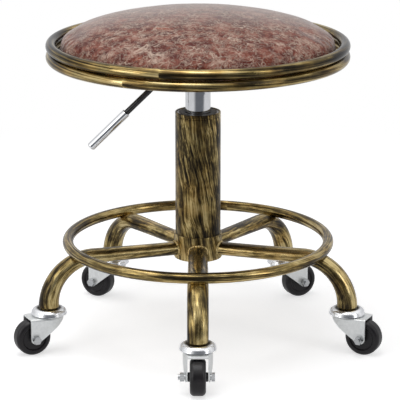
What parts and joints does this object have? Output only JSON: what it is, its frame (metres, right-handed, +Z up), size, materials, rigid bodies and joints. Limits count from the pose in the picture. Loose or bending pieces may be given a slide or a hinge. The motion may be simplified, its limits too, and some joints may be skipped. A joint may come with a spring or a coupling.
{
  "type": "rolling salon stool",
  "caption": "Low round rolling stool: crowned leather seat in a double tube ring on a gas lift with a release lever, bent tube legs, a foot ring and swivel casters.",
  "frame": {"origin": "on the floor, on the axis of the gas lift and column", "axes": "+Z up along the lift's axis; -Y towards the front leg; +X to the sitter's right when facing +Y"},
  "size_m": [0.438, 0.4126, 0.401],
  "materials": {
    "antique_brass": "antique bronze lacquer, rubbed through to gold along brushed streaks",
    "chrome": "polished chrome plate",
    "zinc_steel": "bright zinc plate on pressed steel",
    "bright_steel": "ground steel",
    "black_steel": "black powder coat",
    "grey_steel": "drawn steel tube",
    "nylon": "dark moulded nylon",
    "black_rubber": "smooth black moulded tread",
    "plywood": "raw plywood",
    "distressed_leather": "waxed leather, dusty red-brown with pale cracks"
  },
  "bodies": {
    "base": {"column_tube": "antique_brass", "hub_sleeve": "antique_brass", "lift_sleeve": "grey_steel", "guide_bush": "nylon", "bearing_lower_race": "bright_steel", "foot_ring": "antique_brass", "leg_ferrules": "antique_brass", "caster_stems": "zinc_steel", "leg_1": "antique_brass", "leg_2": "antique_brass", "leg_3": "antique_brass", "leg_4": "antique_brass", "leg_5": "antique_brass", "caster_1_cup": "chrome", "caster_2_cup": "chrome", "caster_3_cup": "chrome", "caster_4_cup": "chrome", "caster_5_cup": "chrome"},
    "rod": {"piston_rod": "bright_steel", "piston_head": "nylon", "bearing_upper_race": "bright_steel", "bearing_balls": "bright_steel", "rod_clip": "zinc_steel"},
    "seat": {"gas_tube": "chrome", "rod_seal_guide": "nylon", "taper_socket": "black_steel", "mount_pan": "black_steel", "seat_spider": "black_steel", "seat_board": "plywood", "seat_screws": "zinc_steel", "lower_seat_ring": "antique_brass", "upper_seat_ring": "antique_brass", "seat_cushion": "distressed_leather", "lever_bracket": "black_steel", "lever_pivot_pin": "zinc_steel"},
    "lever": {"lever_rod": "black_steel", "lever_grip": "chrome"},
    "button": {"release_pin": "nylon"},
    "swivel_1": {"caster_1_fork": "zinc_steel", "caster_1_balls": "bright_steel", "caster_1_axle": "zinc_steel"},
    "roller_1": {"caster_1_wheel": "black_rubber"},
    "swivel_2": {"caster_2_fork": "zinc_steel", "caster_2_balls": "bright_steel", "caster_2_axle": "zinc_steel"},
    "roller_2": {"caster_2_wheel": "black_rubber"},
    "swivel_3": {"caster_3_fork": "zinc_steel", "caster_3_balls": "bright_steel", "caster_3_axle": "zinc_steel"},
    "roller_3": {"caster_3_wheel": "black_rubber"},
    "swivel_4": {"caster_4_fork": "zinc_steel", "caster_4_balls": "bright_steel", "caster_4_axle": "zinc_steel"},
    "roller_4": {"caster_4_wheel": "black_rubber"},
    "swivel_5": {"caster_5_fork": "zinc_steel", "caster_5_balls": "bright_steel", "caster_5_axle": "zinc_steel"},
    "roller_5": {"caster_5_wheel": "black_rubber"}
  },
  "joints": [
    {"name": "seat_spin", "type": "hinge", "parent": "base", "child": "rod", "pos_m": [0, 0, 0.107], "axis": [0, 0, 1], "continuous": true},
    {"name": "seat_lift", "type": "slide", "parent": "rod", "child": "seat", "axis": [0, 0, 1], "range_m": [-0.022, 0.06]},
    {"name": "lever_lift", "type": "hinge", "parent": "seat", "child": "lever", "pos_m": [-0.017, 0, 0.332], "axis": [0, 1, 0], "range_deg": [0, 10], "stiffness_Nm_per_rad": 0.45},
    {"name": "button_press", "type": "slide", "parent": "seat", "child": "button", "axis": [0, 0, 1], "range_m": [-0.0031, 0]},
    {"name": "caster_1_swivel", "type": "hinge", "parent": "base", "child": "swivel_1", "pos_m": [0, -0.1865, 0.045], "axis": [0, 0, 1], "continuous": true},
    {"name": "caster_1_roll", "type": "hinge", "parent": "swivel_1", "child": "roller_1", "pos_m": [0, -0.2085, 0.0215], "axis": [1, 0, 0], "continuous": true},
    {"name": "caster_2_swivel", "type": "hinge", "parent": "base", "child": "swivel_2", "pos_m": [0.17737, -0.05763, 0.045], "axis": [0, 0, 1], "continuous": true},
    {"name": "caster_2_roll", "type": "hinge", "parent": "swivel_2", "child": "roller_2", "pos_m": [0.19731, -0.06693, 0.0215], "axis": [0.4226, 0.9063, 0], "continuous": true},
    {"name": "caster_3_swivel", "type": "hinge", "parent": "base", "child": "swivel_3", "pos_m": [0.10962, 0.15088, 0.045], "axis": [0, 0, 1], "continuous": true},
    {"name": "caster_3_roll", "type": "hinge", "parent": "swivel_3", "child": "roller_3", "pos_m": [0.12905, 0.16121, 0.0215], "axis": [-0.4695, 0.8829, 0], "continuous": true},
    {"name": "caster_4_swivel", "type": "hinge", "parent": "base", "child": "swivel_4", "pos_m": [-0.10962, 0.15088, 0.045], "axis": [0, 0, 1], "continuous": true},
    {"name": "caster_4_roll", "type": "hinge", "parent": "swivel_4", "child": "roller_4", "pos_m": [-0.12905, 0.16121, 0.0215], "axis": [-0.4695, -0.8829, 0], "continuous": true},
    {"name": "caster_5_swivel", "type": "hinge", "parent": "base", "child": "swivel_5", "pos_m": [-0.17737, -0.05763, 0.045], "axis": [0, 0, 1], "continuous": true},
    {"name": "caster_5_roll", "type": "hinge", "parent": "swivel_5", "child": "roller_5", "pos_m": [-0.19731, -0.06693, 0.0215], "axis": [0.4226, -0.9063, 0], "continuous": true}
  ],
  "couplings": [
    {"joint": "button_press", "follows": "lever_lift", "m_per_rad": -0.017}
  ]
}
